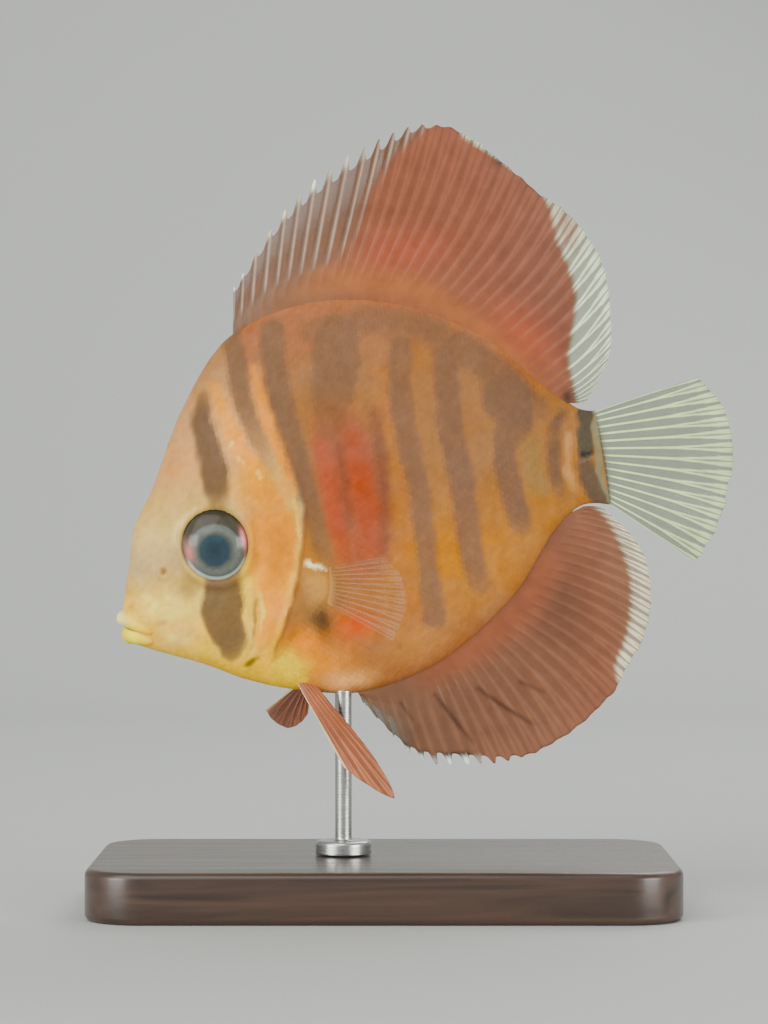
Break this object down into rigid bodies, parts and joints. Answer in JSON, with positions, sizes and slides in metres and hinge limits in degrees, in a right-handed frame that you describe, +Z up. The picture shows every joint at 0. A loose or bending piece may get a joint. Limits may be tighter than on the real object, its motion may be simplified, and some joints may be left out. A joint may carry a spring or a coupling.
{
  "type": "discus fish display model",
  "caption": "Life-size model of a discus fish with raised fin rays, head slightly down, carried over a flat base by one short rod.",
  "frame": {"origin": "centre of the base's underside", "axes": "+Z up, the fish faces -X, its left side faces -Y and its mid-plane is the XZ plane"},
  "size_m": [0.1156, 0.062, 0.1408],
  "materials": {
    "body_skin": "satin, brown bars on orange-tan scales",
    "face_skin": "satin, golden yellow with a brown bar through the eye",
    "eye": "polished, dark pupil in a grey-pink iris",
    "red_fin": "satin, red-brown with a clear outer margin",
    "clear_fin": "clear membrane between pale rays",
    "pink_fin": "satin, salmon pink with pale edges",
    "stand_wood": "dark stain, satin varnish",
    "stand_steel": "brushed"
  },
  "bodies": {
    "root": {"head": "face_skin", "lower_jaw": "face_skin", "trunk": "body_skin", "tail_stalk": "body_skin", "eye_left": "eye", "eye_right": "eye", "dorsal_fin_spiny": "red_fin", "dorsal_fin_soft": "red_fin", "anal_fin_spiny": "red_fin", "anal_fin_soft": "red_fin", "caudal_fin": "clear_fin", "pectoral_fin_left": "clear_fin", "pectoral_fin_right": "clear_fin", "pelvic_fin_left": "pink_fin", "pelvic_fin_right": "pink_fin", "stand_base": "stand_wood", "stand_rod": "stand_steel"}
  },
  "joints": []
}
